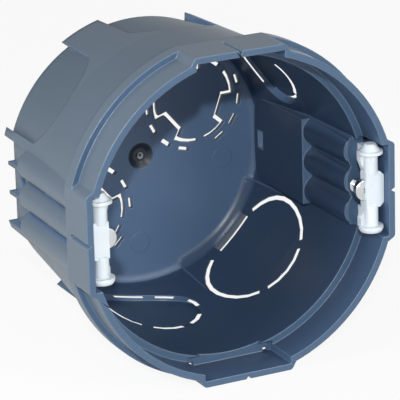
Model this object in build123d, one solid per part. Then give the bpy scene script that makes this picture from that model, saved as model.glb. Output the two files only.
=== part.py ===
from build123d import *
import os
from math import atan2, cos, degrees, hypot, radians, sin, sqrt

# Round flush box for a masonry wall.
# X runs to the right, Y runs into the wall, Z is up. The origin is the centre of the mouth.

# Mouth, collar and flange
GANG_PITCH = 71.0  # across opposite lug flats, so that boxes gang side by side
FLANGE_RADIUS = 36.9
COLLAR_RADIUS = 35.6
COLLAR_WALL = 1.5
REBATE_DEPTH = 7.2  # mouth to the step in front of the flange
FLANGE_BACK = 10.4
LUG_HALF_WIDTH = 10.3
LUG_FOOT_HALF_WIDTH = 13.4
LUG_HEIGHT = 5.5
LUG_CORNER = 1.1
LUG_WALL = 1.4
LEDGE_DEPTH = 8.25
POCKET_FLOOR = 9.4
POCKET_HALF_WIDTH = 10.1
POCKET_WIDTH = 2.4
NOTCH_LENGTH = 8.2
NOTCH_DEPTH = 0.9
NOTCH_HALF_WIDTH = 1.1
DRAIN_OFFSET = 8.8
DRAIN_WIDTH = 0.8
DRAIN_LENGTH = 1.2

# Cup
BOX_DEPTH = 50.6
BACK_PLATE = 1.2
INNER_RADIUS_FRONT = 32.5
INNER_RADIUS_SHOULDER = 32.1
INNER_RADIUS_BACK = 29.4
OUTER_RADIUS_FRONT = 35.0
OUTER_RADIUS_SHOULDER = 33.7
OUTER_RADIUS_BACK = 32.9
SHOULDER_DEPTH = 28.5
BACK_ROUND = 1.8
GATE_RADIUS = 3.0
GATE_FLOOR_RADIUS = 1.6
GATE_DEPTH = 0.7

# Hollows between the rails on the outside, as (direction, half angle)
HOLLOWS = [(140.65, 19.15), (86.5, 18.5), (37.75, 17.75), (314.0, 26.0), (262.0, 19.0), (216.0, 16.0)]
HOLLOW_RADIUS_BACK = 31.1
HOLLOW_RADIUS_FRONT = 33.5
HOLLOW_FRONT = 29.0
HOLLOW_ROUND = 6.6  # how far the rounded front end of a hollow reaches past its straight sides
LOW_RAIL_RADIUS = 33.6
LOW_RAIL = (-116.2, -128.8)
PANEL = (-20.0, -72.0)  # part of the inside wall that stands inwards behind the largest hollow
PANEL_RISE = 0.7
PANEL_FRONT = 37.0
PANEL_EDGE = 0.1

# Claw panels on the left and right
CLAW_HALF_HEIGHT = 9.6
CLAW_POCKET_WIDTH = 8.0
CLAW_FRONT_END = 26.8
CLAW_FLAT = 28.0
CLAW_FLAT_OUTSIDE = 29.4
SCALLOP_PITCH = 6.7
SCALLOP_RADIUS = 6.1
SCALLOP_CREST = 29.3
RIDGE_RADIUS = 3.25
RIDGE_CENTRE = 32.0
RIDGE_LEAN = 1.6
RIDGE_END = 36.8
FIN_CENTRE = 3.3
FIN_THICKNESS = 0.8
FIN_OUTSIDE = 30.9
WINDOW_FRONT = 45.0
WINDOW_BACK = 47.5
WINDOW_HALF_HEIGHT = 2.2
VENT_RADIUS = 32.7
VENT_WIDTH = 1.0
VENT_LENGTH = 0.8

# Knockouts
SLOT = 0.9
LARGE_KNOCKOUT = (12.9, 11.8)  # half sizes along and across the wall
LARGE_KNOCKOUT_ANGLE = -46.0
LARGE_KNOCKOUT_DEPTH = 35.9
LARGE_KNOCKOUT_SLOTS = [(65.0, 115.0), (124.5, 236.0), (-56.0, 55.5)]
LARGE_LEAN = (1.5, 0.15)  # how far the slots lean to the back and sideways for each mm outwards
LARGE_WINDOW = (9.8, 2.4)
LARGE_WINDOW_DEPTH = 46.7
LARGE_WINDOW_SHIFT = 0.5
LARGE_WINDOW_LEAN = (0.62, 0.15)
MIDDLE_KNOCKOUT = (8.0, 6.9)
MIDDLE_KNOCKOUT_ANGLE = 36.5
MIDDLE_KNOCKOUT_DEPTH = 35.5
MIDDLE_SLOTS = [(60.0, 130.0), (240.0, 310.0)]
MIDDLE_SIDE_SLOTS = [(150.0, 220.0), (330.0, 400.0)]
MIDDLE_LEAN = (4.2, -2.4)
BOTTOM_KNOCKOUT = (11.4, 8.4)
BOTTOM_KNOCKOUT_X = -6.1
BOTTOM_KNOCKOUT_DEPTH = 34.4
BOTTOM_SLOTS = [(69, 106), (119, 165), (243, 281), (295, 318), (-20, 4), (28, 55)]
BOTTOM_LEAN = (2.3, 1.1)
DISC_THICKNESS = 0.6  # of the two side knockouts that are thinned from the inside
BACK_KNOCKOUTS = [(0, 13.2, 10.8), (180, -14.1, -11.1)]  # turn and centre
BACK_RING_RADIUS = 11.3
BACK_DASHES = 15
BACK_DASH = 13.0
GEAR_OUTER = 9.4
GEAR_INNER = 7.1
GEAR_VALLEY = 44.0
GEAR_WEB = 10.0
GEAR_LOBES = (-80, 40, 160)

# Screw holders and screws
SCREW_CENTRES = 60.0
SCREW_DIAMETER = 3.0
SCREW_HEAD_DIAMETER = 4.7
SCREW_HEAD_HEIGHT = 1.2
SCREW_TIP = 7.6
SCREW_PLAY = 0.05
SCREW_BEVEL = 0.4
CROSS_LENGTH = 1.9
CROSS_WIDTH = 0.5
CROSS_DEPTH = 0.6
HOLDER_FRONT = 2.0
HOLDER_LIP = 0.7  # in front of the outer part of the screw head
SPOOL_CENTRE = 31.3
SPOOL_FRONT = 0.3
SPOOL_RADIUS = 2.65
SPOOL_SHAFT = 1.55
SPOOL_TOP = 10.1
SPOOL_CAP = 2.1
SPOOL_CAP_TOP = 1.2
SPOOL_BOTTOM = -9.2
SPOOL_BOTTOM_RADIUS = 2.3
RIM_INSIDE = 7.9
RIM_OUTSIDE = 8.6
BLOCK_INSIDE = 29.8
BLOCK_OUTSIDE = 34.0
BLOCK_HALF_HEIGHT = 3.9
BLOCK_BACK = 4.6
BLOCK_CHAMFER = 0.9
WING_FRONT = 3.4
WING_BACK = 5.0
WING_INSIDE = 29.2
WING_WAIST = 30.1
WING_KNEE = 6.4
FOOT_INSIDE = 31.9
FOOT_OUTSIDE = 33.1
FOOT_BOTTOM = 5.4
FOOT_TOP = 8.3


def at_depth(depth):
    return Plane(origin=(0, depth, 0), x_dir=(1, 0, 0), z_dir=(0, -1, 0))


def prism(sketch, start, end):
    """Solid with the sketch as its XZ section, from one depth to another."""
    return extrude(at_depth(start) * sketch, amount=start - end)


def polygon(points):
    return make_face(Polyline(*points, close=True))


def patch(left, right, half_height, centre=0.0):
    """Rectangle between two X values, as a flat sketch."""
    return Pos((left + right) / 2, centre) * Rectangle(right - left, 2 * half_height)


def turned(points, arc=360.0):
    """Solid of revolution about the box axis, from (radius, depth) points."""
    return revolve(polygon(points), axis=Axis.Y, revolution_arc=arc)


def turn_to(angle):
    """Rotation that carries the +X direction to an angle measured towards +Z."""
    return Rot(0, -angle, 0)


def ring_points(half_sizes, start, end, width=SLOT):
    """Outline of a slot along part of an oval round the origin."""
    steps = max(1, round((end - start) / 12))
    angles = [radians(start + (end - start) * i / steps) for i in range(steps + 1)]
    outer = [((half_sizes[0] + width / 2) * cos(a), (half_sizes[1] + width / 2) * sin(a)) for a in angles]
    inner = [((half_sizes[0] - width / 2) * cos(a), (half_sizes[1] - width / 2) * sin(a)) for a in angles]
    return outer + inner[::-1]


def ring_slot(half_sizes, start, end):
    return polygon(ring_points(half_sizes, start, end))


def bar(first, second, width=SLOT):
    """Straight slot between two points, as a flat sketch."""
    dx = second[0] - first[0]
    dy = second[1] - first[1]
    length = hypot(dx, dy)
    middle = Pos((first[0] + second[0]) / 2, (first[1] + second[1]) / 2)
    return middle * Rot(0, 0, degrees(atan2(dy, dx))) * Rectangle(length + width, width)


def through_wall(sketch, angle, depth, sideways=0.0):
    """Cutter that runs a sketch radially through the side wall. The sketch's Y points to the mouth."""
    plane = Plane(origin=(0, depth, 0), x_dir=(0, 0, 1), z_dir=(1, 0, 0))
    return turn_to(angle) * extrude(plane * Pos(sideways, 0) * sketch, amount=GANG_PITCH)


def sector(points, arc):
    """Part of a turned solid between two directions."""
    return turn_to(arc[0]) * turned(points, arc[0] - arc[1])


def hollow_floor(depth):
    """Radius of the hollows' floor at a depth."""
    slope = (HOLLOW_RADIUS_BACK - HOLLOW_RADIUS_FRONT) / (BOX_DEPTH - HOLLOW_FRONT)
    return HOLLOW_RADIUS_FRONT + slope * (depth - HOLLOW_FRONT)


def inner_radius(depth):
    """Radius of the inside wall at a depth behind the shoulder."""
    slope = (INNER_RADIUS_BACK - INNER_RADIUS_SHOULDER) / (BOX_DEPTH - BACK_PLATE - SHOULDER_DEPTH)
    return INNER_RADIUS_SHOULDER + slope * (depth - SHOULDER_DEPTH)


def leaning_slot(points, angle, depth, lean, sideways=0.0):
    """Cutter for a wall slot that leans to the back, so that it is open as seen from the mouth."""
    back, side = lean
    base = []
    for x, y in points:
        across = x + sideways
        radius = min(inner_radius(depth - y), INNER_RADIUS_SHOULDER)
        reach = sqrt(radius ** 2 - across ** 2)
        base.append((across - side * reach, y + back * reach))
    plane = Plane(origin=(0, depth, 0), x_dir=(0, 0, 1), z_dir=(1, 0, 0))
    length = OUTER_RADIUS_FRONT * hypot(1, back, side)
    return turn_to(angle) * extrude(plane * polygon(base), amount=length, dir=(1, back, side))


def mouth_outline():
    """Collar and four lugs as seen from the front."""
    half = GANG_PITCH / 2
    outline = Circle(COLLAR_RADIUS)
    lug = polygon([
        (half - LUG_HEIGHT, -LUG_FOOT_HALF_WIDTH),
        (half, -LUG_HALF_WIDTH),
        (half, LUG_HALF_WIDTH),
        (half - LUG_HEIGHT, LUG_FOOT_HALF_WIDTH),
    ])
    lug = fillet(lug.vertices().sort_by(Axis.X)[-2:], LUG_CORNER)
    for angle in range(0, 360, 90):
        outline += Rot(0, 0, angle) * lug
    return outline & Rectangle(GANG_PITCH, GANG_PITCH)


def claw_panel():
    """Right claw panel with its scalloped front, its flat rear and its outside ridges."""
    lobes = [
        Pos(SCALLOP_CREST + SCALLOP_RADIUS, z) * Circle(SCALLOP_RADIUS)
        for z in (-SCALLOP_PITCH, 0, SCALLOP_PITCH)
    ]
    front = (lobes[0] + lobes[1] + lobes[2]) & patch(CLAW_FLAT, INNER_RADIUS_FRONT, CLAW_HALF_HEIGHT)
    panel = prism(front, POCKET_FLOOR, CLAW_FRONT_END + 0.5)
    panel += prism(patch(CLAW_FLAT, RIDGE_CENTRE, CLAW_HALF_HEIGHT), CLAW_FRONT_END, RIDGE_END)
    panel += prism(patch(CLAW_FLAT, CLAW_FLAT_OUTSIDE, CLAW_HALF_HEIGHT), RIDGE_END - 1, BOX_DEPTH)
    return panel


def ridges():
    """Three rounded ridges on the outside of the right claw panel."""
    shapes = []
    start = FLANGE_BACK - 0.6
    for z in (-SCALLOP_PITCH, 0, SCALLOP_PITCH):
        ridge = prism(Circle(RIDGE_RADIUS), 0, RIDGE_END - start)
        shapes.append(Pos(RIDGE_CENTRE, start, z) * Rot(0, 0, RIDGE_LEAN) * ridge)
    return shapes


def hollow(angle, half_angle):
    """Cutter for one outside hollow: a sloping floor with a rounded front end."""
    half_width = OUTER_RADIUS_BACK * sin(radians(half_angle))
    straight = HOLLOW_FRONT + HOLLOW_ROUND
    front = ThreePointArc((-half_width, -straight), (0, -HOLLOW_FRONT), (half_width, -straight))
    end = BOX_DEPTH + 2
    rear = Polyline(front @ 1, (half_width, -end), (-half_width, -end), front @ 0)
    shape = through_wall(make_face([front, rear]), angle, 0)
    start = HOLLOW_FRONT - 2
    outside = FLANGE_RADIUS + 3
    floor = turned([
        (hollow_floor(start), start),
        (hollow_floor(end), end),
        (outside, end),
        (outside, start),
    ])
    return shape & floor


def inside_panel():
    """Wedge that thickens the inside wall towards the back plate."""
    floor = BOX_DEPTH - BACK_PLATE
    back_radius = INNER_RADIUS_BACK - PANEL_RISE
    return sector([
        (inner_radius(PANEL_FRONT) + BACK_PLATE / 2, PANEL_FRONT),
        (inner_radius(PANEL_FRONT) - PANEL_EDGE, PANEL_FRONT),
        (back_radius, floor - BACK_ROUND),
        (back_radius - BACK_ROUND, floor),
        (back_radius - BACK_ROUND, floor + BACK_PLATE / 2),
        (INNER_RADIUS_BACK + BACK_PLATE / 2, floor + BACK_PLATE / 2),
    ], PANEL)


def build_cavity():
    floor = BOX_DEPTH - BACK_PLATE
    collar_inside = COLLAR_RADIUS - COLLAR_WALL
    corner = []
    for angle in (0, 45, 90):
        inset = BACK_ROUND * (1 - cos(radians(angle)))
        corner.append((inner_radius(floor) - inset, floor - BACK_ROUND * (1 - sin(radians(angle)))))
    return turned([
        (0, -1),
        (collar_inside, -1),
        (collar_inside, LEDGE_DEPTH),
        (INNER_RADIUS_FRONT, LEDGE_DEPTH),
        (INNER_RADIUS_SHOULDER, SHOULDER_DEPTH),
        *corner,
        (0, floor),
    ])


def build_box():
    back = BOX_DEPTH
    square = Rectangle(GANG_PITCH, GANG_PITCH)
    cup = turned([
        (0, FLANGE_BACK - 2),
        (OUTER_RADIUS_FRONT, FLANGE_BACK - 2),
        (OUTER_RADIUS_FRONT, FLANGE_BACK),
        (OUTER_RADIUS_SHOULDER, SHOULDER_DEPTH),
        (OUTER_RADIUS_BACK, back),
        (0, back),
    ])
    rail_start = SHOULDER_DEPTH + HOLLOW_ROUND
    rail_inside = OUTER_RADIUS_BACK - 1
    cup += sector([
        (rail_inside, rail_start),
        (OUTER_RADIUS_SHOULDER, rail_start),
        (LOW_RAIL_RADIUS, back),
        (rail_inside, back),
    ], LOW_RAIL)
    for angle, half_angle in HOLLOWS:
        cup -= hollow(angle, half_angle)
    space = prism(patch(CLAW_FLAT_OUTSIDE, FLANGE_RADIUS + 3, CLAW_HALF_HEIGHT), FLANGE_BACK, back + 1)
    for angle in (0, 180):
        cup -= turn_to(angle) * space
    cup += prism(mouth_outline(), 0, FLANGE_BACK)
    cup += prism(Circle(FLANGE_RADIUS) & square, REBATE_DEPTH, FLANGE_BACK)
    cup -= build_cavity()
    cup += inside_panel()

    window = prism(patch(CLAW_FLAT - 2, FLANGE_RADIUS, WINDOW_HALF_HEIGHT), WINDOW_FRONT, WINDOW_BACK)
    for angle in (0, 180):
        cup += turn_to(angle) * claw_panel()
        for ridge in ridges():
            cup += turn_to(angle) * ridge
        for z in (-FIN_CENTRE, FIN_CENTRE):
            fin = patch(CLAW_FLAT_OUTSIDE - BACK_PLATE / 2, FIN_OUTSIDE, FIN_THICKNESS / 2, z)
            cup += turn_to(angle) * prism(fin, RIDGE_END - 1, back)
        cup -= turn_to(angle) * window
    return cut_lugs(cup)


def cut_lugs(cup):
    """Pockets, notches and small drain holes of the four lugs."""
    half = GANG_PITCH / 2
    inside = half - LUG_WALL
    notch = polygon([
        (half - NOTCH_DEPTH, 0),
        (half + 1, -NOTCH_HALF_WIDTH),
        (half + 1, NOTCH_HALF_WIDTH),
    ])
    for angle in range(0, 360, 90):
        pocket = patch(inside - POCKET_WIDTH, inside, POCKET_HALF_WIDTH)
        cup -= turn_to(angle) * prism(pocket, -1, POCKET_FLOOR)
        cup -= turn_to(angle) * prism(notch, -1, NOTCH_LENGTH)
        for side in (-DRAIN_OFFSET, DRAIN_OFFSET):
            drain = patch(inside - DRAIN_WIDTH, inside, DRAIN_LENGTH / 2, side)
            cup -= turn_to(angle) * prism(drain, POCKET_FLOOR - 1, FLANGE_BACK + 2)
    for angle in (0, 180):
        pocket = patch(inside - CLAW_POCKET_WIDTH, inside, CLAW_HALF_HEIGHT)
        cup -= turn_to(angle) * prism(pocket, -1, POCKET_FLOOR)
        for z in (-SCALLOP_PITCH / 2, SCALLOP_PITCH / 2):
            vent = patch(VENT_RADIUS - VENT_WIDTH / 2, VENT_RADIUS + VENT_WIDTH / 2, VENT_LENGTH / 2, z)
            cup -= turn_to(angle) * prism(vent, POCKET_FLOOR - 1, FLANGE_BACK + 0.5)
    return cup


def thinned_disc(half_sizes, angle, depth, sideways=0.0):
    """Cutter that thins a side knockout from the inside, down to a membrane."""
    start = depth - GANG_PITCH / 4
    end = depth + GANG_PITCH / 4
    room = turned([
        (0, start),
        (hollow_floor(start) - DISC_THICKNESS, start),
        (hollow_floor(end) - DISC_THICKNESS, end),
        (0, end),
    ])
    disc = Ellipse(half_sizes[0] + SLOT / 2, half_sizes[1] + SLOT / 2)
    return through_wall(disc, angle, depth, sideways) & room


def cut_knockouts(cup):
    for start, end in LARGE_KNOCKOUT_SLOTS:
        slot = ring_points(LARGE_KNOCKOUT, start, end)
        cup -= leaning_slot(slot, LARGE_KNOCKOUT_ANGLE, LARGE_KNOCKOUT_DEPTH, LARGE_LEAN)
    x = LARGE_WINDOW[0] / 2
    y = LARGE_WINDOW[1] / 2
    window = [(-x, -y), (x, -y), (x, y), (-x, y)]
    place = (LARGE_KNOCKOUT_ANGLE, LARGE_WINDOW_DEPTH)
    cup -= leaning_slot(window, *place, LARGE_WINDOW_LEAN, LARGE_WINDOW_SHIFT)
    cup -= thinned_disc(MIDDLE_KNOCKOUT, MIDDLE_KNOCKOUT_ANGLE, MIDDLE_KNOCKOUT_DEPTH)
    for start, end in MIDDLE_SLOTS:
        slot = ring_points(MIDDLE_KNOCKOUT, start, end)
        cup -= leaning_slot(slot, MIDDLE_KNOCKOUT_ANGLE, MIDDLE_KNOCKOUT_DEPTH, MIDDLE_LEAN)
    for start, end in MIDDLE_SIDE_SLOTS:
        slot = ring_slot(MIDDLE_KNOCKOUT, start, end)
        cup -= through_wall(slot, MIDDLE_KNOCKOUT_ANGLE, MIDDLE_KNOCKOUT_DEPTH)
    cup -= thinned_disc(BOTTOM_KNOCKOUT, -90, BOTTOM_KNOCKOUT_DEPTH, BOTTOM_KNOCKOUT_X)
    for start, end in BOTTOM_SLOTS:
        slot = ring_points(BOTTOM_KNOCKOUT, start, end)
        cup -= leaning_slot(slot, -90, BOTTOM_KNOCKOUT_DEPTH, BOTTOM_LEAN, BOTTOM_KNOCKOUT_X)
    return cup


def back_knockout():
    """Slots of one double knockout, as flat sketches round its own centre."""
    ring = (BACK_RING_RADIUS, BACK_RING_RADIUS)
    gear = (GEAR_OUTER, GEAR_OUTER)
    pitch = 360 / BACK_DASHES
    slots = []
    for lobe in GEAR_LOBES:
        for i in range(1, BACK_DASHES // 3):
            middle = lobe + pitch * i
            slots.append(ring_slot(ring, middle - BACK_DASH / 2, middle + BACK_DASH / 2))
        valley = lobe + 60
        corners = []
        for side in (-1, 1):
            step = radians(valley + side * GEAR_VALLEY / 2)
            inner = (GEAR_INNER * cos(step), GEAR_INNER * sin(step))
            outer = (GEAR_OUTER * cos(step), GEAR_OUTER * sin(step))
            corners.append((inner, outer))
        reach = (120 - GEAR_VALLEY - GEAR_WEB) / 2
        low = valley - GEAR_VALLEY / 2
        high = valley + GEAR_VALLEY / 2
        shape = bar(corners[0][0], corners[1][0])
        shape += bar(*corners[0])
        shape += bar(*corners[1])
        shape += ring_slot(gear, low - reach, low)
        shape += ring_slot(gear, high, high + reach)
        slots.append(shape)
    return slots


def cut_back(cup):
    floor = BOX_DEPTH - BACK_PLATE
    for turn, x, z in BACK_KNOCKOUTS:
        for slot in back_knockout():
            cup -= prism(Pos(x, z) * Rot(0, 0, turn) * slot, floor - 1.5, BOX_DEPTH + 1)
    dish = floor + GATE_DEPTH
    cup -= turned([
        (0, floor - 1),
        (GATE_RADIUS, floor - 1),
        (GATE_RADIUS, floor),
        (GATE_FLOOR_RADIUS, dish),
        (0, dish),
    ])
    return cup


def build_spool():
    """Upright spool with a rim at each end and a tapered cap on top."""
    section = polygon([
        (0, SPOOL_TOP),
        (SPOOL_CAP_TOP, SPOOL_TOP),
        (SPOOL_CAP, RIM_OUTSIDE),
        (SPOOL_RADIUS, RIM_OUTSIDE),
        (SPOOL_RADIUS, RIM_INSIDE),
        (SPOOL_SHAFT, RIM_INSIDE),
        (SPOOL_SHAFT, -RIM_INSIDE),
        (SPOOL_RADIUS, -RIM_INSIDE),
        (SPOOL_RADIUS, -RIM_OUTSIDE),
        (SPOOL_BOTTOM_RADIUS, SPOOL_BOTTOM),
        (0, SPOOL_BOTTOM),
    ])
    return Pos(SPOOL_CENTRE, SPOOL_FRONT + SPOOL_RADIUS, 0) * revolve(Plane.XZ * section, axis=Axis.Z)


def build_holder():
    """Right screw holder: a spool with a block round the screw head and two feet on the pocket floor."""
    middle = SPOOL_FRONT + SPOOL_RADIUS
    rim = (RIM_INSIDE + RIM_OUTSIDE) / 2
    section = patch(BLOCK_INSIDE, BLOCK_OUTSIDE, BLOCK_HALF_HEIGHT)
    section = chamfer(section.vertices().sort_by(Axis.X)[-2:], BLOCK_CHAMFER)
    seat = patch(BLOCK_INSIDE - SPOOL_RADIUS, GANG_PITCH / 2, BLOCK_HALF_HEIGHT - BLOCK_CHAMFER / 2)
    wing = polygon([
        (SPOOL_CENTRE, rim),
        (WING_INSIDE, rim),
        (WING_INSIDE, WING_KNEE),
        (WING_WAIST, BLOCK_HALF_HEIGHT),
        (SPOOL_CENTRE, BLOCK_HALF_HEIGHT),
    ])
    holder = build_spool() - prism(seat, -1, HOLDER_FRONT)
    holder += prism(section, HOLDER_FRONT, BLOCK_BACK)
    for side in (-1, 1):
        centre = side * (FOOT_TOP + FOOT_BOTTOM) / 2
        foot = patch(FOOT_INSIDE, FOOT_OUTSIDE, (FOOT_TOP - FOOT_BOTTOM) / 2, centre)
        holder += prism(foot, middle, POCKET_FLOOR)
    wings = prism(wing, WING_FRONT, WING_BACK)
    holder += wings
    holder += mirror(wings, about=Plane.XY)
    head_front = HOLDER_FRONT + HOLDER_LIP
    screw_axis = Pos(SCREW_CENTRES / 2, 0)
    pocket = screw_axis * Circle(SCREW_HEAD_DIAMETER / 2 + SCREW_PLAY)
    holder -= prism(pocket, head_front - SCREW_PLAY, head_front + SCREW_HEAD_HEIGHT)
    bore = screw_axis * Circle(SCREW_DIAMETER / 2 + SCREW_PLAY)
    return holder - prism(bore, head_front, POCKET_FLOOR + 1)


def build_screw():
    """Right device screw, with its head behind the holder's lip."""
    head_front = HOLDER_FRONT + HOLDER_LIP
    head_back = head_front + SCREW_HEAD_HEIGHT
    head = SCREW_HEAD_DIAMETER / 2
    shank = SCREW_DIAMETER / 2
    screw = turned([
        (0, head_front),
        (head - SCREW_BEVEL, head_front),
        (head, head_front + SCREW_BEVEL),
        (head, head_back),
        (shank, head_back),
        (shank, SCREW_TIP - SCREW_BEVEL),
        (shank - SCREW_BEVEL, SCREW_TIP),
        (0, SCREW_TIP),
    ])
    for turn in (45, 135):
        slot = prism(Rectangle(CROSS_LENGTH, CROSS_WIDTH), head_front - 1, head_front + CROSS_DEPTH)
        screw -= turn_to(turn) * slot
    return Pos(SCREW_CENTRES / 2, 0, 0) * screw


box_body = cut_back(cut_knockouts(build_box()))
right_screw_holder = build_holder()
right_device_screw = build_screw()

NODES = {
    "box_body": box_body,
    "right_screw_holder": right_screw_holder,
    "left_screw_holder": mirror(right_screw_holder, about=Plane.YZ),
    "right_device_screw": right_device_screw,
    "left_device_screw": turn_to(180) * right_device_screw,
}

os.makedirs("parts", exist_ok=True)
for name, shape in NODES.items():
    export_step(shape, f"parts/{name}.step")
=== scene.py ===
# %% [markdown]
# # A round flush box for a masonry wall
# The real thing is one deep cup, moulded in slate-blue plastic, with two white screw holders and
# two steel screws in its mouth. The cup, the holders and the screws come from the solid model.
# This lesson loads them, gives every surface its finish, and puts real threads on the screws.

# %% Load the solid model
from math import cos, pi, radians, sin

import bpy
from mathutils import Matrix, Vector


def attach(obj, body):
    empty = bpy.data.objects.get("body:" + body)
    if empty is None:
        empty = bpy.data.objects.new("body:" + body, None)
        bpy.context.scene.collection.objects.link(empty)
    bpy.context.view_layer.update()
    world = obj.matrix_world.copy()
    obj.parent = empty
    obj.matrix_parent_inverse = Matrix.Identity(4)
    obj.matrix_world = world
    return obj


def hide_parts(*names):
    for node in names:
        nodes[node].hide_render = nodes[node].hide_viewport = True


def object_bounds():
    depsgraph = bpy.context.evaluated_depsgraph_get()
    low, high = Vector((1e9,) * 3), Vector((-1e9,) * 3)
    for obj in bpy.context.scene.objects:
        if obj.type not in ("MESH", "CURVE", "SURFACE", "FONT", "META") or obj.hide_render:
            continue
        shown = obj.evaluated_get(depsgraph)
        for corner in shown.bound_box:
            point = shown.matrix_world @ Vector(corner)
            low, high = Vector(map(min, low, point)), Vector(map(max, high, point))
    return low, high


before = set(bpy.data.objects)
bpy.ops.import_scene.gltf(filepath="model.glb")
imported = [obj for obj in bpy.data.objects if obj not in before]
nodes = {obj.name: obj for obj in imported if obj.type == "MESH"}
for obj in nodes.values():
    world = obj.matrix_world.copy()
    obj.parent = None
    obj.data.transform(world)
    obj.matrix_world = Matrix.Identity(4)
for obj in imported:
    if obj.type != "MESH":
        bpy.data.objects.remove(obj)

solid_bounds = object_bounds()
print("solid model:", [[round(v, 4) for v in corner] for corner in solid_bounds])
print("pieces:", sorted(nodes))

# %% [markdown]
# ## Small helpers
# Every finish below is a node tree, so three short helpers keep the lines readable: one starts a
# material, one adds a node with its settings, and one joins two sockets. A fourth clears the
# selection, because an operator works on everything that is selected, and loading leaves the
# solid pieces selected.

# %% Helpers for nodes and operators


def start_material(name):
    material = bpy.data.materials.new(name)
    material.use_nodes = True
    tree = material.node_tree
    return material, tree, tree.nodes["Principled BSDF"]


def add_node(tree, kind, values=None, **settings):
    node = tree.nodes.new(kind)
    for key, value in settings.items():
        setattr(node, key, value)
    for key, value in (values or {}).items():
        node.inputs[key].default_value = value
    return node


def join(tree, source, target):
    tree.links.new(source, target)


def clear_selection():
    active = bpy.context.view_layer.objects.active
    if active and active.mode != "OBJECT":
        bpy.ops.object.mode_set(mode="OBJECT")
    bpy.ops.object.select_all(action="DESELECT")


def finish_with(piece, material):
    piece.data.materials.clear()
    piece.data.materials.append(material)


# %% [markdown]
# ## Slate-blue moulded plastic
# The cup is one satin moulding, a little cloudy in colour. It could have a material for each side,
# but then every face would have to be sorted by hand. One material covers it all instead, built up
# over the next cells. It starts with two tones, mixed by a soft noise, and with what the later
# steps ask of a point: how deep it lies in the cup, how far from the axis, and which way it faces.

# %% Slate-blue plastic for the cup
SLATE_DARK = (0.085, 0.150, 0.266, 1)
SLATE_LIGHT = (0.101, 0.172, 0.296, 1)
AXIS_LEFT_OUT = (1, 0, 1)

slate_plastic, tree, surface = start_material("slate_plastic")
place = add_node(tree, "ShaderNodeTexCoord")
clouds = add_node(tree, "ShaderNodeTexNoise", {"Scale": 55.0, "Detail": 3.0, "Roughness": 0.55})
grain = add_node(tree, "ShaderNodeTexNoise", {"Scale": 2600.0, "Detail": 2.0, "Roughness": 0.6})
for texture in (clouds, grain):
    join(tree, place.outputs["Object"], texture.inputs["Vector"])

tone = add_node(tree, "ShaderNodeMix", data_type="RGBA")
tone.inputs["A"].default_value = SLATE_DARK
tone.inputs["B"].default_value = SLATE_LIGHT
join(tree, clouds.outputs["Fac"], tone.inputs["Factor"])

true_normal = add_node(tree, "ShaderNodeNewGeometry")
deep = add_node(tree, "ShaderNodeSeparateXYZ")
join(tree, place.outputs["Object"], deep.inputs["Vector"])
outwards = add_node(tree, "ShaderNodeVectorMath", {1: AXIS_LEFT_OUT}, operation="MULTIPLY")
join(tree, place.outputs["Object"], outwards.inputs[0])
across = add_node(tree, "ShaderNodeVectorMath", operation="LENGTH")
join(tree, outwards.outputs["Vector"], across.inputs[0])
radial = add_node(tree, "ShaderNodeVectorMath", operation="NORMALIZE")
join(tree, outwards.outputs["Vector"], radial.inputs[0])
facing = add_node(tree, "ShaderNodeVectorMath", operation="DOT_PRODUCT")
join(tree, radial.outputs["Vector"], facing.inputs[0])
join(tree, true_normal.outputs["True Normal"], facing.inputs[1])
print("slate plastic:", len(tree.nodes), "nodes for tone and directions")

# %% [markdown]
# The two sides of the wall differ. The core of the mould is polished, so the inside is smoother,
# and its colour is darker and deeper: that darkening is painted shade, stronger below the mouth.
# The outside gets a grey haze, a painted sheen, and the front of the rim is darkened with painted
# shade. Which side a point is on shows in its normal: outwards from the axis, or towards it, or
# towards the front.

# %% Painted shade inside the cup
INSIDE_PAINTED_SHADE = (0.41, 0.43, 0.46, 1)
MOUTH_FADE = (0.002, 0.009)

inwards = add_node(tree, "ShaderNodeMapRange", {"From Min": -0.3, "From Max": -0.8})
join(tree, facing.outputs["Value"], inwards.inputs["Value"])
below_mouth = add_node(
    tree, "ShaderNodeMapRange",
    {"From Min": MOUTH_FADE[0], "From Max": MOUTH_FADE[1], "To Min": 0.5})
join(tree, deep.outputs["Y"], below_mouth.inputs["Value"])
painted_shade_and_polish_inside = add_node(tree, "ShaderNodeMath", operation="MULTIPLY")
join(tree, inwards.outputs["Result"], painted_shade_and_polish_inside.inputs[0])
join(tree, below_mouth.outputs["Result"], painted_shade_and_polish_inside.inputs[1])
# painted shade: the colour of the inward-facing walls is multiplied darker, at half strength at the
# mouth
painted_shade = add_node(tree, "ShaderNodeMix", data_type="RGBA", blend_type="MULTIPLY")
painted_shade.inputs["B"].default_value = INSIDE_PAINTED_SHADE
join(tree, painted_shade_and_polish_inside.outputs["Value"], painted_shade.inputs["Factor"])
join(tree, tone.outputs["Result"], painted_shade.inputs["A"])
print("slate plastic:", len(tree.nodes), "nodes with the polished inside")

# %% Painted sheen on the outside
PAINTED_SHEEN_GREY = (0.118, 0.155, 0.192, 1)

wall_side = add_node(
    tree, "ShaderNodeMapRange", {"From Min": 0.2, "From Max": 0.7, "To Max": 0.85})
join(tree, facing.outputs["Value"], wall_side.inputs["Value"])
# painted sheen: the outward-facing walls are mixed towards grey, standing in for reflected light
painted_sheen = add_node(tree, "ShaderNodeMix", data_type="RGBA")
painted_sheen.inputs["B"].default_value = PAINTED_SHEEN_GREY
join(tree, wall_side.outputs["Result"], painted_sheen.inputs["Factor"])
join(tree, painted_shade.outputs["Result"], painted_sheen.inputs["A"])
print("slate plastic:", len(tree.nodes), "nodes with the dusty outside")

# %% Painted shade on the front of the rim
RIM_PAINTED_SHADE = (0.77, 0.81, 0.79, 1)
RIM_FADE = (0.0105, 0.0115)

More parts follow.
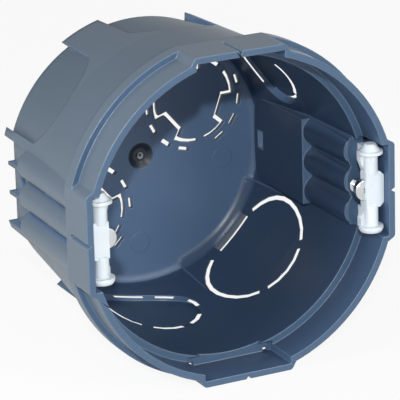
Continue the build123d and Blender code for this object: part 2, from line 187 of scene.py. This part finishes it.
way = add_node(tree, "ShaderNodeSeparateXYZ")
join(tree, true_normal.outputs["True Normal"], way.inputs["Vector"])
to_front = add_node(tree, "ShaderNodeMapRange", {"From Min": -0.5, "From Max": -0.9})
join(tree, way.outputs["Y"], to_front.inputs["Value"])
near_mouth = add_node(
    tree, "ShaderNodeMapRange", {"From Min": RIM_FADE[1], "From Max": RIM_FADE[0]})
join(tree, deep.outputs["Y"], near_mouth.inputs["Value"])
on_rim = add_node(tree, "ShaderNodeMath", operation="MULTIPLY")
join(tree, to_front.outputs["Result"], on_rim.inputs[0])
join(tree, near_mouth.outputs["Result"], on_rim.inputs[1])
# painted shade: the faces near the mouth that look to the front are multiplied darker
painted_rim_shade = add_node(tree, "ShaderNodeMix", data_type="RGBA", blend_type="MULTIPLY")
painted_rim_shade.inputs["B"].default_value = RIM_PAINTED_SHADE
join(tree, on_rim.outputs["Value"], painted_rim_shade.inputs["Factor"])
join(tree, painted_sheen.outputs["Result"], painted_rim_shade.inputs["A"])
print("slate plastic:", len(tree.nodes), "nodes with the rim")

# %% [markdown]
# Every moulded edge is painted a lighter colour, a painted highlight along the edge. Painting those
# edges by hand would be slow. The Bevel node looks at the surface a fraction of a millimetre around
# each point, so comparing its normal with the true one finds the edges, and the same normal rounds
# them off for the highlights. In the middle of the back plate is a small dish, where the plastic
# came into the mould, and painted shade makes it the darkest spot of the cup.

# %% Painted highlights on the edges
EDGE_PAINTED_HIGHLIGHT = (0.210, 0.300, 0.420, 1)
EDGE_ROUNDING = 0.0004

rounding = add_node(tree, "ShaderNodeBevel", {"Radius": EDGE_ROUNDING}, samples=8)
alike = add_node(tree, "ShaderNodeVectorMath", operation="DOT_PRODUCT")
join(tree, rounding.outputs["Normal"], alike.inputs[0])
join(tree, true_normal.outputs["True Normal"], alike.inputs[1])
edge = add_node(tree, "ShaderNodeMapRange", {"From Min": 0.99, "From Max": 0.80, "To Max": 0.6})
join(tree, alike.outputs["Value"], edge.inputs["Value"])
# painted highlight: the colour is lightened along every edge that the Bevel node finds
painted_highlight = add_node(tree, "ShaderNodeMix", data_type="RGBA")
painted_highlight.inputs["B"].default_value = EDGE_PAINTED_HIGHLIGHT
join(tree, edge.outputs["Result"], painted_highlight.inputs["Factor"])
join(tree, painted_rim_shade.outputs["Result"], painted_highlight.inputs["A"])
print("slate plastic:", len(tree.nodes), "nodes with the rubbed edges")

# %% Painted shade in the gate dish
DISH_PAINTED_SHADE = (0.026, 0.038, 0.054, 1)
DISH_FADE = (0.0027, 0.0031)
BEHIND_DISH = 0.0503

near_axis = add_node(
    tree, "ShaderNodeMapRange", {"From Min": DISH_FADE[1], "From Max": DISH_FADE[0]})
join(tree, across.outputs["Value"], near_axis.inputs["Value"])
in_front = add_node(tree, "ShaderNodeMath", {1: BEHIND_DISH}, operation="LESS_THAN")
join(tree, deep.outputs["Y"], in_front.inputs[0])
in_dish = add_node(tree, "ShaderNodeMath", operation="MULTIPLY")
join(tree, near_axis.outputs["Result"], in_dish.inputs[0])
join(tree, in_front.outputs["Value"], in_dish.inputs[1])
# painted shade: the dish round the axis of the back plate is coloured almost black
gate = add_node(tree, "ShaderNodeMix", data_type="RGBA")
gate.inputs["B"].default_value = DISH_PAINTED_SHADE
join(tree, in_dish.outputs["Value"], gate.inputs["Factor"])
join(tree, painted_highlight.outputs["Result"], gate.inputs["A"])
join(tree, gate.outputs["Result"], surface.inputs["Base Color"])
print("slate plastic:", len(tree.nodes), "nodes with the gate dish")

# %% [markdown]
# The skin is satin: its roughness follows the same soft noise as the tone, and it is a little lower
# on the polished inside and along the edges.

# %% Satin skin
CORE_POLISH = -0.07
EDGE_POLISH = -0.18

satin = add_node(tree, "ShaderNodeMapRange", {"To Min": 0.32, "To Max": 0.43})
join(tree, clouds.outputs["Fac"], satin.inputs["Value"])
smoother = add_node(tree, "ShaderNodeMath", operation="MULTIPLY_ADD")
join(tree, painted_shade_and_polish_inside.outputs["Value"], smoother.inputs[0])
smoother.inputs[1].default_value = CORE_POLISH
join(tree, satin.outputs["Result"], smoother.inputs[2])
shinier = add_node(tree, "ShaderNodeMath", operation="MULTIPLY_ADD")
join(tree, edge.outputs["Result"], shinier.inputs[0])
shinier.inputs[1].default_value = EDGE_POLISH
join(tree, smoother.outputs["Value"], shinier.inputs[2])
join(tree, shinier.outputs["Value"], surface.inputs["Roughness"])
print("slate plastic:", len(tree.nodes), "nodes with the satin skin")

# %% [markdown]
# The wall sweeps into the back plate in a soft curve, which the solid model has as flat steps. A
# second, wider Bevel node bends the normals there only, and a fine bump gives the moulded grain.

# %% Soft back corner and moulded grain
CORNER_DEPTHS = (0.0450, 0.0475)
CORNER_RADII = (0.0255, 0.0270)
CORNER_SWEEP = 0.0016

at_back = add_node(
    tree, "ShaderNodeMapRange",
    {"From Min": CORNER_DEPTHS[0], "From Max": CORNER_DEPTHS[1]})
join(tree, deep.outputs["Y"], at_back.inputs["Value"])
at_wall = add_node(
    tree, "ShaderNodeMapRange",
    {"From Min": CORNER_RADII[0], "From Max": CORNER_RADII[1]})
join(tree, across.outputs["Value"], at_wall.inputs["Value"])
in_corner = add_node(tree, "ShaderNodeMath", operation="MULTIPLY")
join(tree, at_back.outputs["Result"], in_corner.inputs[0])
join(tree, at_wall.outputs["Result"], in_corner.inputs[1])
sweep = add_node(tree, "ShaderNodeBevel", {"Radius": CORNER_SWEEP}, samples=8)
bend = add_node(tree, "ShaderNodeMix", data_type="VECTOR")
join(tree, in_corner.outputs["Value"], bend.inputs["Factor"])
join(tree, rounding.outputs["Normal"], bend.inputs["A"])
join(tree, sweep.outputs["Normal"], bend.inputs["B"])
skin = add_node(tree, "ShaderNodeBump", {"Strength": 0.10, "Distance": 0.00003})
join(tree, grain.outputs["Fac"], skin.inputs["Height"])
join(tree, bend.outputs["Result"], skin.inputs["Normal"])
join(tree, skin.outputs["Normal"], surface.inputs["Normal"])
surface.inputs["IOR"].default_value = 1.5
finish_with(nodes["box_body"], slate_plastic)
print("cup:", len(nodes["box_body"].data.polygons), "faces in slate plastic")

# %% [markdown]
# ## White nylon
# The two screw holders are small white mouldings, smoother and shinier than the cup, with a soft
# inner glow where light enters the plastic. Their edges are rounded by a bevel modifier, after a
# weld modifier has joined the loose triangles, so the solid's own mesh stays as it is.

# %% White nylon for the screw holders
NYLON_COOL = (0.75, 0.82, 0.88, 1)
NYLON_MILKY = (0.82, 0.88, 0.93, 1)

white_nylon, tree, surface = start_material("white_nylon")
place = add_node(tree, "ShaderNodeTexCoord")
milk = add_node(tree, "ShaderNodeTexNoise", {"Scale": 260.0, "Detail": 2.0})
ripple = add_node(tree, "ShaderNodeTexNoise", {"Scale": 1900.0, "Detail": 1.0})
for texture in (milk, ripple):
    join(tree, place.outputs["Object"], texture.inputs["Vector"])
tone = add_node(tree, "ShaderNodeMix", data_type="RGBA")
tone.inputs["A"].default_value = NYLON_COOL
tone.inputs["B"].default_value = NYLON_MILKY
join(tree, milk.outputs["Fac"], tone.inputs["Factor"])
join(tree, tone.outputs["Result"], surface.inputs["Base Color"])
gloss = add_node(tree, "ShaderNodeMapRange", {"To Min": 0.26, "To Max": 0.36})
join(tree, milk.outputs["Fac"], gloss.inputs["Value"])
join(tree, gloss.outputs["Result"], surface.inputs["Roughness"])
skin = add_node(tree, "ShaderNodeBump", {"Strength": 0.06, "Distance": 0.00003})
join(tree, ripple.outputs["Fac"], skin.inputs["Height"])
join(tree, skin.outputs["Normal"], surface.inputs["Normal"])
surface.inputs["Subsurface Weight"].default_value = 0.15
surface.inputs["Subsurface Scale"].default_value = 0.0006
print("white nylon:", len(tree.nodes), "nodes")

# %% Soft edges on the screw holders
WELD_REACH = 0.000002
SOFT_EDGE = 0.00014
SHARP_ANGLE = radians(28)

for name in ("right_screw_holder", "left_screw_holder"):
    holder = nodes[name]
    finish_with(holder, white_nylon)
    weld = holder.modifiers.new("join_triangles", "WELD")
    weld.merge_threshold = WELD_REACH
    soften = holder.modifiers.new("soft_edges", "BEVEL")
    soften.width = SOFT_EDGE
    soften.segments = 2
    soften.limit_method = "ANGLE"
    soften.angle_limit = SHARP_ANGLE
    print("holder:", name, len(holder.data.polygons), "faces")

# %% [markdown]
# ## Zinc-plated screws
# Each screw has a low round head with a cross recess and a rolled thread. The solid model has the
# plain form only, so a detailed screw takes its place. The head starts as a cylinder whose front
# edge is bevelled round. The recess is a tapered cross, cut away by a boolean. A new primitive is
# selected all over, so one more helper selects only the edges or faces that pass a test.

# %% Helpers to select edges and faces
SAME_DEPTH = 0.00001


def pick(piece, kind, wanted):
    bpy.ops.object.mode_set(mode="EDIT")
    bpy.ops.mesh.select_mode(type=kind)
    bpy.ops.mesh.select_all(action="DESELECT")
    bpy.ops.object.mode_set(mode="OBJECT")
    items = piece.data.edges if kind == "EDGE" else piece.data.polygons
    for item in items:
        item.select = wanted(item)
    bpy.ops.object.mode_set(mode="EDIT")


def edge_at(piece, depth):
    corners = piece.data.vertices
    return lambda line: all(
        abs(corners[i].co.y - depth) < SAME_DEPTH for i in line.vertices)


# %% Screw head
SCREW_X = 0.030
HEAD_FRONT = 0.0027
HEAD_BACK = 0.0039
HEAD_RADIUS = 0.00235
HEAD_EDGE = 0.00034

clear_selection()
bpy.ops.mesh.primitive_cylinder_add(
    vertices=64, radius=HEAD_RADIUS, depth=HEAD_BACK - HEAD_FRONT,
    location=(SCREW_X, (HEAD_FRONT + HEAD_BACK) / 2, 0), rotation=(pi / 2, 0, 0))
screw = bpy.context.object
screw.name = "right_threaded_screw"
bpy.ops.object.transform_apply(location=True, rotation=True, scale=True)
pick(screw, "EDGE", edge_at(screw, HEAD_FRONT))
bpy.ops.mesh.bevel(offset=HEAD_EDGE, segments=5, profile=0.5, affect="EDGES")
bpy.ops.object.mode_set(mode="OBJECT")
print("screw head:", len(screw.data.polygons), "faces")

# %% Cross recess
RECESS = (0.0015, 0.0014, 0.00045)
RECESS_TAPER = (0.6, 1, 0.6)

for turn in (45, 135):
    clear_selection()
    bpy.ops.mesh.primitive_cube_add(size=1, location=(SCREW_X, HEAD_FRONT, 0))
    cutter = bpy.context.object
    cutter.scale = RECESS
    cutter.rotation_euler = (0, -radians(turn), 0)
    bpy.ops.object.transform_apply(location=False, rotation=False, scale=True)
    pick(cutter, "FACE", lambda face: face.normal.y > 0.5)
    bpy.ops.transform.resize(value=RECESS_TAPER, center_override=(SCREW_X, HEAD_FRONT, 0))
    bpy.ops.object.mode_set(mode="OBJECT")
    clear_selection()
    bpy.context.view_layer.objects.active = screw
    screw.select_set(True)
    cut = screw.modifiers.new("recess", "BOOLEAN")
    cut.object = cutter
    cut.operation = "DIFFERENCE"
    cut.solver = "EXACT"
    bpy.ops.object.modifier_apply(modifier=cut.name)
    bpy.data.objects.remove(cutter)
print("screw head with recess:", len(screw.data.polygons), "faces")

# %% [markdown]
# The shank is a thinner cylinder with a rounded tip, and it starts a little way inside the head.
# Its thread is one triangle, carried round the screw's axis by a Screw modifier, which moves it
# one pitch along for each turn.

# %% Shank
TIP = 0.0076
TIP_EDGE = 0.00042
CORE_RADIUS = 0.00134
SHANK_START = HEAD_BACK - 0.0004

clear_selection()
bpy.ops.mesh.primitive_cylinder_add(
    vertices=48, radius=CORE_RADIUS, depth=TIP - SHANK_START,
    location=(SCREW_X, (TIP + SHANK_START) / 2, 0), rotation=(pi / 2, 0, 0))
shank = bpy.context.object
bpy.ops.object.transform_apply(location=True, rotation=True, scale=True)
pick(shank, "EDGE", edge_at(shank, TIP))
bpy.ops.mesh.bevel(offset=TIP_EDGE, segments=5, profile=0.5, affect="EDGES")
bpy.ops.object.mode_set(mode="OBJECT")
print("shank:", len(shank.data.polygons), "faces")

# %% Thread
RIDGE = 0.00018
RIDGE_SINK = 0.00002
PITCH = 0.00050
TURNS = 6
PLAIN_TIP = 0.0006
STEPS = 36

clear_selection()
thread_start = TIP - PLAIN_TIP - PITCH * TURNS
bpy.ops.mesh.primitive_circle_add(
    vertices=3, radius=RIDGE, fill_type="NOTHING", location=(SCREW_X, thread_start, 0))
thread = bpy.context.object
bpy.ops.object.mode_set(mode="EDIT")
bpy.ops.mesh.select_all(action="SELECT")
bpy.ops.transform.rotate(
    value=radians(90), orient_axis="Z", center_override=(SCREW_X, thread_start, 0))
bpy.ops.transform.translate(value=(CORE_RADIUS - RIDGE_SINK, 0, 0))
bpy.ops.object.mode_set(mode="OBJECT")
coil = thread.modifiers.new("coil", "SCREW")
coil.axis = "Y"
coil.angle = 2 * pi
coil.screw_offset = PITCH
coil.iterations = TURNS
coil.steps = STEPS
coil.render_steps = STEPS
coil.use_merge_vertices = True
coil.merge_threshold = 0.000001
bpy.ops.object.modifier_apply(modifier=coil.name)
bpy.ops.object.mode_set(mode="EDIT")
bpy.ops.mesh.select_mode(type="VERT")
bpy.ops.mesh.select_all(action="DESELECT")
bpy.ops.mesh.select_non_manifold()
bpy.ops.mesh.fill_holes(sides=4)
bpy.ops.mesh.select_all(action="SELECT")
bpy.ops.mesh.normals_make_consistent(inside=False)
bpy.ops.object.mode_set(mode="OBJECT")
print("thread:", len(thread.data.polygons), "faces, crest radius",
      round(1000 * max(abs(v.co.z) for v in thread.data.vertices), 2), "mm")

# %% Join the screw and copy it for the left side
clear_selection()
for part in (shank, thread, screw):
    part.select_set(True)
bpy.context.view_layer.objects.active = screw
bpy.ops.object.join()
bpy.ops.object.transform_apply(location=True, rotation=True, scale=True)
bpy.ops.object.shade_smooth_by_angle(angle=radians(32))
bpy.ops.object.duplicate(linked=False)
left_screw = bpy.context.object
left_screw.name = "left_threaded_screw"
left_screw.rotation_euler = (0, pi, 0)
bpy.ops.object.transform_apply(location=True, rotation=True, scale=True)
for piece, node in ((screw, "right_device_screw"), (left_screw, "left_device_screw")):
    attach(piece, "root")
    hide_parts(node)
    print("screw:", piece.name, len(piece.data.polygons), "faces")

# %% [markdown]
# ## Zinc plating
# Plated steel is bright but never a mirror: it has fine turning rings on the head, a faint cloudy
# tint, and a rougher look in the thread. This finish gives the rings and the tint, with a roughness
# that varies by noise all over. Rings round the screw's own axis come from the distance to that
# axis, worked out from Object coordinates.

# %% Bright zinc for the screws
ZINC_DULL = (0.68, 0.70, 0.72, 1)
ZINC_BRIGHT = (0.82, 0.84, 0.86, 1)
RING_RATE = 42000.0

zinc, tree, surface = start_material("bright_zinc")
place = add_node(tree, "ShaderNodeTexCoord")
split = add_node(tree, "ShaderNodeSeparateXYZ")
join(tree, place.outputs["Object"], split.inputs["Vector"])
sideways = add_node(tree, "ShaderNodeMath", operation="ABSOLUTE")
join(tree, split.outputs["X"], sideways.inputs[0])
offset = add_node(tree, "ShaderNodeMath", operation="SUBTRACT")
join(tree, sideways.outputs["Value"], offset.inputs[0])
offset.inputs[1].default_value = SCREW_X
flat = add_node(tree, "ShaderNodeCombineXYZ")
join(tree, offset.outputs["Value"], flat.inputs["X"])
join(tree, split.outputs["Z"], flat.inputs["Y"])
distance = add_node(tree, "ShaderNodeVectorMath", operation="LENGTH")
join(tree, flat.outputs["Vector"], distance.inputs[0])
rings = add_node(tree, "ShaderNodeMath", operation="SINE")
spread = add_node(tree, "ShaderNodeMath", operation="MULTIPLY")
join(tree, distance.outputs["Value"], spread.inputs[0])
spread.inputs[1].default_value = RING_RATE
join(tree, spread.outputs["Value"], rings.inputs[0])
tint = add_node(tree, "ShaderNodeTexNoise", {"Scale": 420.0, "Detail": 3.0})
join(tree, place.outputs["Object"], tint.inputs["Vector"])
tone = add_node(tree, "ShaderNodeMix", data_type="RGBA")
tone.inputs["A"].default_value = ZINC_DULL
tone.inputs["B"].default_value = ZINC_BRIGHT
join(tree, tint.outputs["Fac"], tone.inputs["Factor"])
join(tree, tone.outputs["Result"], surface.inputs["Base Color"])
surface.inputs["Metallic"].default_value = 1.0
polish = add_node(tree, "ShaderNodeMapRange", {"To Min": 0.14, "To Max": 0.28})
join(tree, tint.outputs["Fac"], polish.inputs["Value"])
join(tree, polish.outputs["Result"], surface.inputs["Roughness"])
turning = add_node(tree, "ShaderNodeBump", {"Strength": 0.08, "Distance": 0.00002})
join(tree, rings.outputs["Value"], turning.inputs["Height"])
join(tree, turning.outputs["Normal"], surface.inputs["Normal"])
for piece in (screw, left_screw):
    finish_with(piece, zinc)
for name in ("right_device_screw", "left_device_screw"):
    finish_with(nodes[name], zinc)
print("bright zinc:", len(tree.nodes), "nodes")

# %% [markdown]
# ## Ring in the gate dish
# Molten plastic enters the mould in the middle of the back plate and leaves a little ring there,
# down in a shallow dish. It is too small for the solid model, so a short cylinder is added on the
# dish, hollowed by an inset that sinks, and softened with a bevel.

# %% Ring in the gate dish
RING_FRONT = 0.0496
RING_ROOT = 0.0502
RING_RADIUS = 0.00075
RING_WALL = 0.00042
RING_HOLE = 0.0003
RING_EDGE = 0.00012

clear_selection()
bpy.ops.mesh.primitive_cylinder_add(
    vertices=40, radius=RING_RADIUS, depth=RING_ROOT - RING_FRONT,
    location=(0, (RING_ROOT + RING_FRONT) / 2, 0), rotation=(pi / 2, 0, 0))
gate_ring = bpy.context.object
gate_ring.name = "gate_ring"
bpy.ops.object.transform_apply(location=True, rotation=True, scale=True)
pick(gate_ring, "FACE", lambda face: face.normal.y < -0.5)
bpy.ops.mesh.inset(thickness=RING_WALL, depth=-RING_HOLE)
bpy.ops.object.mode_set(mode="OBJECT")
pick(gate_ring, "EDGE", edge_at(gate_ring, RING_FRONT))
bpy.ops.mesh.bevel(offset=RING_EDGE, segments=3, profile=0.5, affect="EDGES")
bpy.ops.object.mode_set(mode="OBJECT")
bpy.ops.object.shade_smooth_by_angle(angle=radians(40))
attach(gate_ring, "root")
print("gate ring:", len(gate_ring.data.polygons), "faces")

# %% [markdown]
# The ring is where the plastic was torn off the runner. Torn plastic goes pale and shiny, so the
# ring gets a lighter version of the cup's colour, cloudy where the tear is deeper. It is painted
# lighter still, as a painted glint for the light it catches: partly torn plastic, partly painted
# highlight. Its hole is painted dark, a painted shade.

# %% Torn plastic with a painted glint for the gate ring
DEEP_TEAR_AND_GLINT = (0.34, 0.39, 0.42, 1)
PALE_TEAR_AND_GLINT = (0.62, 0.66, 0.68, 1)
HOLE_PAINTED_SHADE = (0.045, 0.060, 0.070, 1)
HOLE_FADE = (0.00032, 0.00040)

torn_plastic_and_glint, tree, surface = start_material("torn_plastic_and_glint")
place = add_node(tree, "ShaderNodeTexCoord")
tear = add_node(tree, "ShaderNodeTexNoise", {"Scale": 1500.0, "Detail": 2.0})
join(tree, place.outputs["Object"], tear.inputs["Vector"])
# both tones are pale for torn plastic and paler still as a painted glint
tone = add_node(tree, "ShaderNodeMix", data_type="RGBA")
tone.inputs["A"].default_value = DEEP_TEAR_AND_GLINT
tone.inputs["B"].default_value = PALE_TEAR_AND_GLINT
join(tree, tear.outputs["Fac"], tone.inputs["Factor"])
sideways = add_node(tree, "ShaderNodeVectorMath", {1: AXIS_LEFT_OUT}, operation="MULTIPLY")
join(tree, place.outputs["Object"], sideways.inputs[0])
across = add_node(tree, "ShaderNodeVectorMath", operation="LENGTH")
join(tree, sideways.outputs["Vector"], across.inputs[0])
in_hole = add_node(
    tree, "ShaderNodeMapRange", {"From Min": HOLE_FADE[1], "From Max": HOLE_FADE[0]})
join(tree, across.outputs["Value"], in_hole.inputs["Value"])
# painted shade: the hole in the ring is coloured dark
painted_hole_shade = add_node(tree, "ShaderNodeMix", data_type="RGBA")
painted_hole_shade.inputs["B"].default_value = HOLE_PAINTED_SHADE
join(tree, in_hole.outputs["Result"], painted_hole_shade.inputs["Factor"])
join(tree, tone.outputs["Result"], painted_hole_shade.inputs["A"])
join(tree, painted_hole_shade.outputs["Result"], surface.inputs["Base Color"])
shine = add_node(tree, "ShaderNodeMapRange", {"To Min": 0.18, "To Max": 0.34})
join(tree, tear.outputs["Fac"], shine.inputs["Value"])
join(tree, shine.outputs["Result"], surface.inputs["Roughness"])
finish_with(gate_ring, torn_plastic_and_glint)
print("torn plastic:", len(tree.nodes), "nodes")

# %% [markdown]
# ## Ejector marks
# Round pins push the cooled cup off the mould, and each leaves a flat round mark on the plate, a
# hair proud of it. One mark is a low cylinder with a bevelled edge and a face that sinks a little
# inside it, and the second is a copy.

# %% Ejector marks on the back plate
PLATE_FRONT = 0.0494
MARK_RADIUS = 0.0024
MARK_HEIGHT = 0.00005
MARK_BORDER = 0.0002
FIRST_MARK = (-0.0009, -0.0198)
SECOND_MARK = (0.0199, -0.0036)

clear_selection()
bpy.ops.mesh.primitive_cylinder_add(
    vertices=64, radius=MARK_RADIUS, depth=4 * MARK_HEIGHT,
    location=(FIRST_MARK[0], PLATE_FRONT + MARK_HEIGHT, FIRST_MARK[1]),
    rotation=(pi / 2, 0, 0))
first_mark = bpy.context.object
first_mark.name = "lower_ejector_mark"
bpy.ops.object.transform_apply(location=True, rotation=True, scale=True)
pick(first_mark, "EDGE", edge_at(first_mark, PLATE_FRONT - MARK_HEIGHT))
bpy.ops.mesh.bevel(offset=MARK_HEIGHT * 0.8, segments=2, profile=0.5, affect="EDGES")
bpy.ops.object.mode_set(mode="OBJECT")
pick(first_mark, "FACE", lambda face: face.normal.y < -0.9)
bpy.ops.mesh.inset(thickness=MARK_BORDER, depth=-MARK_HEIGHT * 0.6)
bpy.ops.object.mode_set(mode="OBJECT")
bpy.ops.object.duplicate(linked=False)
second_mark = bpy.context.object
second_mark.name = "right_ejector_mark"
second_mark.location = (SECOND_MARK[0] - FIRST_MARK[0], 0, SECOND_MARK[1] - FIRST_MARK[1])
bpy.ops.object.transform_apply(location=True, rotation=True, scale=True)
for mark in (first_mark, second_mark):
    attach(mark, "root")
    finish_with(mark, slate_plastic)
    print("mark:", mark.name, len(mark.data.polygons), "faces")

# %% [markdown]
# ## Floor, light and camera
# The box stands on a pale floor in a white room. A room bright enough to look white would flood the
# box with light, so the Light Path node tells apart who is looking. The camera sees white,
# reflections see a pale floor and a room that darkens behind the box, and the light that the room
# gives off is dim. The floor keeps a tenth of its own shading, and so the shadow.

# %% Floor
FLOOR_SIZE = 6
FLOOR_TONE = (0.90, 0.90, 0.90, 1)
SEEN_SHARE = 0.9
MIRRORED_SHARE = 0.4

clear_selection()
bpy.ops.mesh.primitive_plane_add(size=FLOOR_SIZE, location=(0, 0, solid_bounds[0][2]))
floor = bpy.context.object
floor.name = "pale_floor"
floor_paint, tree, surface = start_material("floor_paint")
surface.inputs["Base Color"].default_value = FLOOR_TONE
surface.inputs["Roughness"].default_value = 0.9
output = tree.nodes["Material Output"]
glow = add_node(tree, "ShaderNodeEmission", {"Strength": 1.0})
path = add_node(tree, "ShaderNodeLightPath")
mirrored = add_node(tree, "ShaderNodeMath", {1: MIRRORED_SHARE}, operation="MULTIPLY")
join(tree, path.outputs["Is Glossy Ray"], mirrored.inputs[0])
direct = add_node(tree, "ShaderNodeMath", operation="MAXIMUM")
join(tree, path.outputs["Is Camera Ray"], direct.inputs[0])
join(tree, path.outputs["Is Transmission Ray"], direct.inputs[1])
seen = add_node(tree, "ShaderNodeMath", {1: SEEN_SHARE}, operation="MULTIPLY")
join(tree, direct.outputs["Value"], seen.inputs[0])
share = add_node(tree, "ShaderNodeMath", operation="MAXIMUM")
join(tree, seen.outputs["Value"], share.inputs[0])
join(tree, mirrored.outputs["Value"], share.inputs[1])
blend = add_node(tree, "ShaderNodeMixShader")
join(tree, share.outputs["Value"], blend.inputs["Fac"])
join(tree, surface.outputs["BSDF"], blend.inputs[1])
join(tree, glow.outputs["Emission"], blend.inputs[2])
join(tree, blend.outputs["Shader"], output.inputs["Surface"])
finish_with(floor, floor_paint)
print("floor at", round(solid_bounds[0][2], 4))

# %% Room light
ROOM_FILL = 0.16

world = bpy.data.worlds.new("white_room")
bpy.context.scene.world = world
world.use_nodes = True
tree = world.node_tree
room = tree.nodes["Background"]
room.inputs["Color"].default_value = (1, 1, 1, 1)
way = add_node(tree, "ShaderNodeTexCoord")
split = add_node(tree, "ShaderNodeSeparateXYZ")
join(tree, way.outputs["Generated"], split.inputs["Vector"])
mirrored = add_node(
    tree, "ShaderNodeMapRange",
    {"From Min": 0.74, "From Max": 0.96, "To Min": 1.0, "To Max": 0.0})
join(tree, split.outputs["Y"], mirrored.inputs["Value"])
path = add_node(tree, "ShaderNodeLightPath")
glossy = add_node(tree, "ShaderNodeMix", {"A": ROOM_FILL})
join(tree, path.outputs["Is Glossy Ray"], glossy.inputs["Factor"])
join(tree, mirrored.outputs["Result"], glossy.inputs["B"])
direct = add_node(tree, "ShaderNodeMath", operation="MAXIMUM")
join(tree, path.outputs["Is Camera Ray"], direct.inputs[0])
join(tree, path.outputs["Is Transmission Ray"], direct.inputs[1])
level = add_node(tree, "ShaderNodeMath", operation="MAXIMUM")
join(tree, direct.outputs["Value"], level.inputs[0])
join(tree, glossy.outputs["Result"], level.inputs[1])
join(tree, level.outputs["Value"], room.inputs["Strength"])
print("room:", len(tree.nodes), "nodes, darker behind the box in reflections")

# %% [markdown]
# The main light is a small soft box near the camera, high on the left, because the upper left of
# the cup lies in the sharp shadow of its own rim. A wider lamp on the right fills the inside, a
# close one on the left brings out the ridges, and a weak one behind keeps the back from going flat.

# %% Lamps
AIM = Vector((0, 0.02, 0))


def soft_box(name, direction, distance, size, watts):
    spot = Vector(direction).normalized()
    lamp = bpy.data.lights.new(name, "AREA")
    lamp.shape = "DISK"
    lamp.size = size
    lamp.energy = watts
    stand = bpy.data.objects.new(name, lamp)
    bpy.context.collection.objects.link(stand)
    stand.location = AIM + spot * distance
    stand.rotation_euler = (-spot).to_track_quat("-Z", "Y").to_euler()


soft_box("main_light", (-0.504, -1.0, 0.535), distance=1.24, size=0.04, watts=7.3)
soft_box("side_light", (-1.0, -0.22, 0.60), distance=0.22, size=0.08, watts=0.24)
soft_box("fill_light", (0.47, -1.0, 0.44), distance=1.0, size=0.35, watts=2.9)
soft_box("back_light", (1.0, 1.0, 0.08), distance=0.9, size=0.14, watts=1.2)

# %% [markdown]
# The camera stands on the left, a little above the box, with a long lens, as for a catalogue
# picture. Its turn and height are angles about the middle of the mouth, the slide moves it sideways
# and up, and a small roll tilts the picture.

# %% Camera
TURN = radians(26.2235)
HEIGHT = radians(18.3431)
ROLL = radians(-1.6675)
DISTANCE = 0.6130725
SLIDE = (-0.0092451, 0.0036514)
LENS = 269.12

towards = Vector((-sin(TURN) * cos(HEIGHT), -cos(TURN) * cos(HEIGHT), sin(HEIGHT)))
level_right = Vector((cos(TURN), -sin(TURN), 0))
level_up = Vector((sin(TURN) * sin(HEIGHT), cos(TURN) * sin(HEIGHT), cos(HEIGHT)))
right = cos(ROLL) * level_right + sin(ROLL) * level_up
up = -sin(ROLL) * level_right + cos(ROLL) * level_up
eye = SLIDE[0] * right + SLIDE[1] * up + DISTANCE * towards

view = bpy.data.cameras.new("catalogue_view")
view.sensor_width = 36
view.lens = LENS
view.clip_start = 0.01
camera = bpy.data.objects.new("catalogue_view", view)
bpy.context.collection.objects.link(camera)
turn = Matrix((right, up, towards)).transposed().to_4x4()
camera.matrix_world = Matrix.Translation(eye) @ turn
bpy.context.scene.camera = camera
bpy.context.scene.view_settings.view_transform = "Standard"
print("camera at", [round(v, 3) for v in eye])
